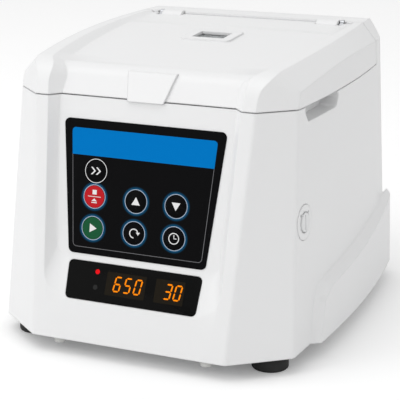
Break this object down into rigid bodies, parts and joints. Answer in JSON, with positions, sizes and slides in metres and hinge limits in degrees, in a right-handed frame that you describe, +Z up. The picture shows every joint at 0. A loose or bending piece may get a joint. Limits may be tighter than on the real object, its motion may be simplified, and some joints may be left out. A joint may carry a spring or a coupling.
{
  "type": "microcentrifuge",
  "caption": "Benchtop microcentrifuge with a dished hinged lid, small lid window, leaning keypad and display, and a fixed angle rotor inside.",
  "frame": {"origin": "on the bench under the middle of the instrument's width and depth", "axes": "+Z up, -Y is the front with the control panel, +X is the right side seen from the front"},
  "size_m": [0.2886, 0.31, 0.2462],
  "materials": {
    "white_shell": "fine satin",
    "liner_white": "smooth",
    "panel_black": "smooth membrane",
    "key_black": "smooth",
    "dark_glass": "clear dark",
    "clear_pane": "clear",
    "lamp_red": "clear tinted",
    "lamp_dark": "clear tinted",
    "module_black": "moulded",
    "board_green": "lacquered",
    "steel_bright": "deep drawn",
    "steel_zinc": "zinc plated",
    "screw_steel": "plated",
    "rotor_metal": "anodised",
    "sink_metal": "extruded",
    "motor_metal": "powder coated",
    "plate_grey": "powder coated",
    "rubber_black": "matt",
    "rubber_grey": "matt",
    "bumper_pale": "matt",
    "inlet_black": "moulded",
    "blade_brass": "plated",
    "capacitor_dark": "sleeved",
    "core_iron": "lacquered"
  },
  "bodies": {
    "base": {"casing": "white_shell", "base_plate": "plate_grey", "rubber_feet": "rubber_black", "front_bumpers": "bumper_pale", "base_screws": "screw_steel", "rear_panel": "plate_grey", "rear_screws": "screw_steel", "mains_inlet": "inlet_black", "inlet_blades": "blade_brass", "power_frame": "inlet_black", "panel_overlay": "panel_black", "display_strip": "dark_glass", "speed_digits": "module_black", "time_digits": "module_black", "run_lamp": "lamp_red", "fault_lamp": "lamp_dark", "display_board": "board_green", "key_board": "board_green", "chamber_bowl": "steel_bright", "bowl_screws": "screw_steel", "chamber_seal": "rubber_grey", "motor_dampers": "rubber_black", "motor_plate": "steel_zinc", "motor": "motor_metal", "shaft_seal": "rubber_black", "hinge_pins": "screw_steel", "latch_bracket": "steel_zinc", "latch_pin": "screw_steel", "solenoid": "motor_metal", "lid_switch": "module_black", "release_ring": "white_shell", "main_board": "board_green", "capacitors": "capacitor_dark", "heat_sink": "sink_metal", "transformer": "core_iron"},
    "lid": {"lid_shell": "white_shell", "lid_window": "clear_pane", "lid_liner": "liner_white", "lid_striker": "steel_zinc", "lid_screws": "screw_steel", "hinge_arms": "steel_zinc"},
    "rotor": {"rotor": "rotor_metal", "motor_shaft": "steel_bright"},
    "nut": {"rotor_nut": "steel_zinc"},
    "latch": {"latch_hook": "steel_zinc"},
    "plunger": {"solenoid_plunger": "steel_bright"},
    "plug": {"release_plug": "liner_white"},
    "fuse": {"fuse_drawer": "inlet_black"},
    "rocker": {"power_rocker": "inlet_black"},
    "key_lid_cap": {"key_lid": "key_black"},
    "key_stop_cap": {"key_stop": "key_black"},
    "key_up_cap": {"key_up": "key_black"},
    "key_down_cap": {"key_down": "key_black"},
    "key_start_cap": {"key_start": "key_black"},
    "key_short_cap": {"key_short": "key_black"},
    "key_time_cap": {"key_time": "key_black"}
  },
  "joints": [
    {"name": "lid_hinge", "type": "hinge", "parent": "base", "child": "lid", "pos_m": [0, 0.118, 0.2436], "axis": [-1, 0, 0], "range_deg": [0, 78]},
    {"name": "rotor_spin", "type": "hinge", "parent": "base", "child": "rotor", "pos_m": [0, 0.023, 0.14], "axis": [0, 0, 1], "continuous": true},
    {"name": "nut_turn", "type": "hinge", "parent": "rotor", "child": "nut", "pos_m": [0, 0.023, 0.175], "axis": [0, 0, 1], "continuous": true},
    {"name": "latch_turn", "type": "hinge", "parent": "base", "child": "latch", "pos_m": [0, -0.081, 0.168], "axis": [1, 0, 0], "range_deg": [0, 15]},
    {"name": "plunger_slide", "type": "slide", "parent": "base", "child": "plunger", "axis": [0, 0, 1], "range_m": [0, 0.0032]},
    {"name": "plug_pull", "type": "slide", "parent": "base", "child": "plug", "axis": [0.9955, -0.0846, 0.0438], "range_m": [0, 0.012]},
    {"name": "fuse_pull", "type": "slide", "parent": "base", "child": "fuse", "axis": [0, 1, 0], "range_m": [0, 0.012]},
    {"name": "power_rock", "type": "hinge", "parent": "base", "child": "rocker", "pos_m": [-0.056, 0.1388, 0.06], "axis": [-1, 0, 0], "range_deg": [0, 14]},
    {"name": "key_lid_press", "type": "slide", "parent": "base", "child": "key_lid_cap", "axis": [0, 0.9838, -0.1795], "range_m": [0, 0.0004], "stiffness_N_per_m": 800},
    {"name": "key_stop_press", "type": "slide", "parent": "base", "child": "key_stop_cap", "axis": [0, 0.9838, -0.1795], "range_m": [0, 0.0004], "stiffness_N_per_m": 800},
    {"name": "key_up_press", "type": "slide", "parent": "base", "child": "key_up_cap", "axis": [0, 0.9838, -0.1795], "range_m": [0, 0.0004], "stiffness_N_per_m": 800},
    {"name": "key_down_press", "type": "slide", "parent": "base", "child": "key_down_cap", "axis": [0, 0.9838, -0.1795], "range_m": [0, 0.0004], "stiffness_N_per_m": 800},
    {"name": "key_start_press", "type": "slide", "parent": "base", "child": "key_start_cap", "axis": [0, 0.9838, -0.1795], "range_m": [0, 0.0004], "stiffness_N_per_m": 800},
    {"name": "key_short_press", "type": "slide", "parent": "base", "child": "key_short_cap", "axis": [0, 0.9838, -0.1795], "range_m": [0, 0.0004], "stiffness_N_per_m": 800},
    {"name": "key_time_press", "type": "slide", "parent": "base", "child": "key_time_cap", "axis": [0, 0.9838, -0.1795], "range_m": [0, 0.0004], "stiffness_N_per_m": 800}
  ],
  "couplings": [
    {"joint": "plunger_slide", "follows": "latch_turn", "m_per_rad": 0.012}
  ]
}
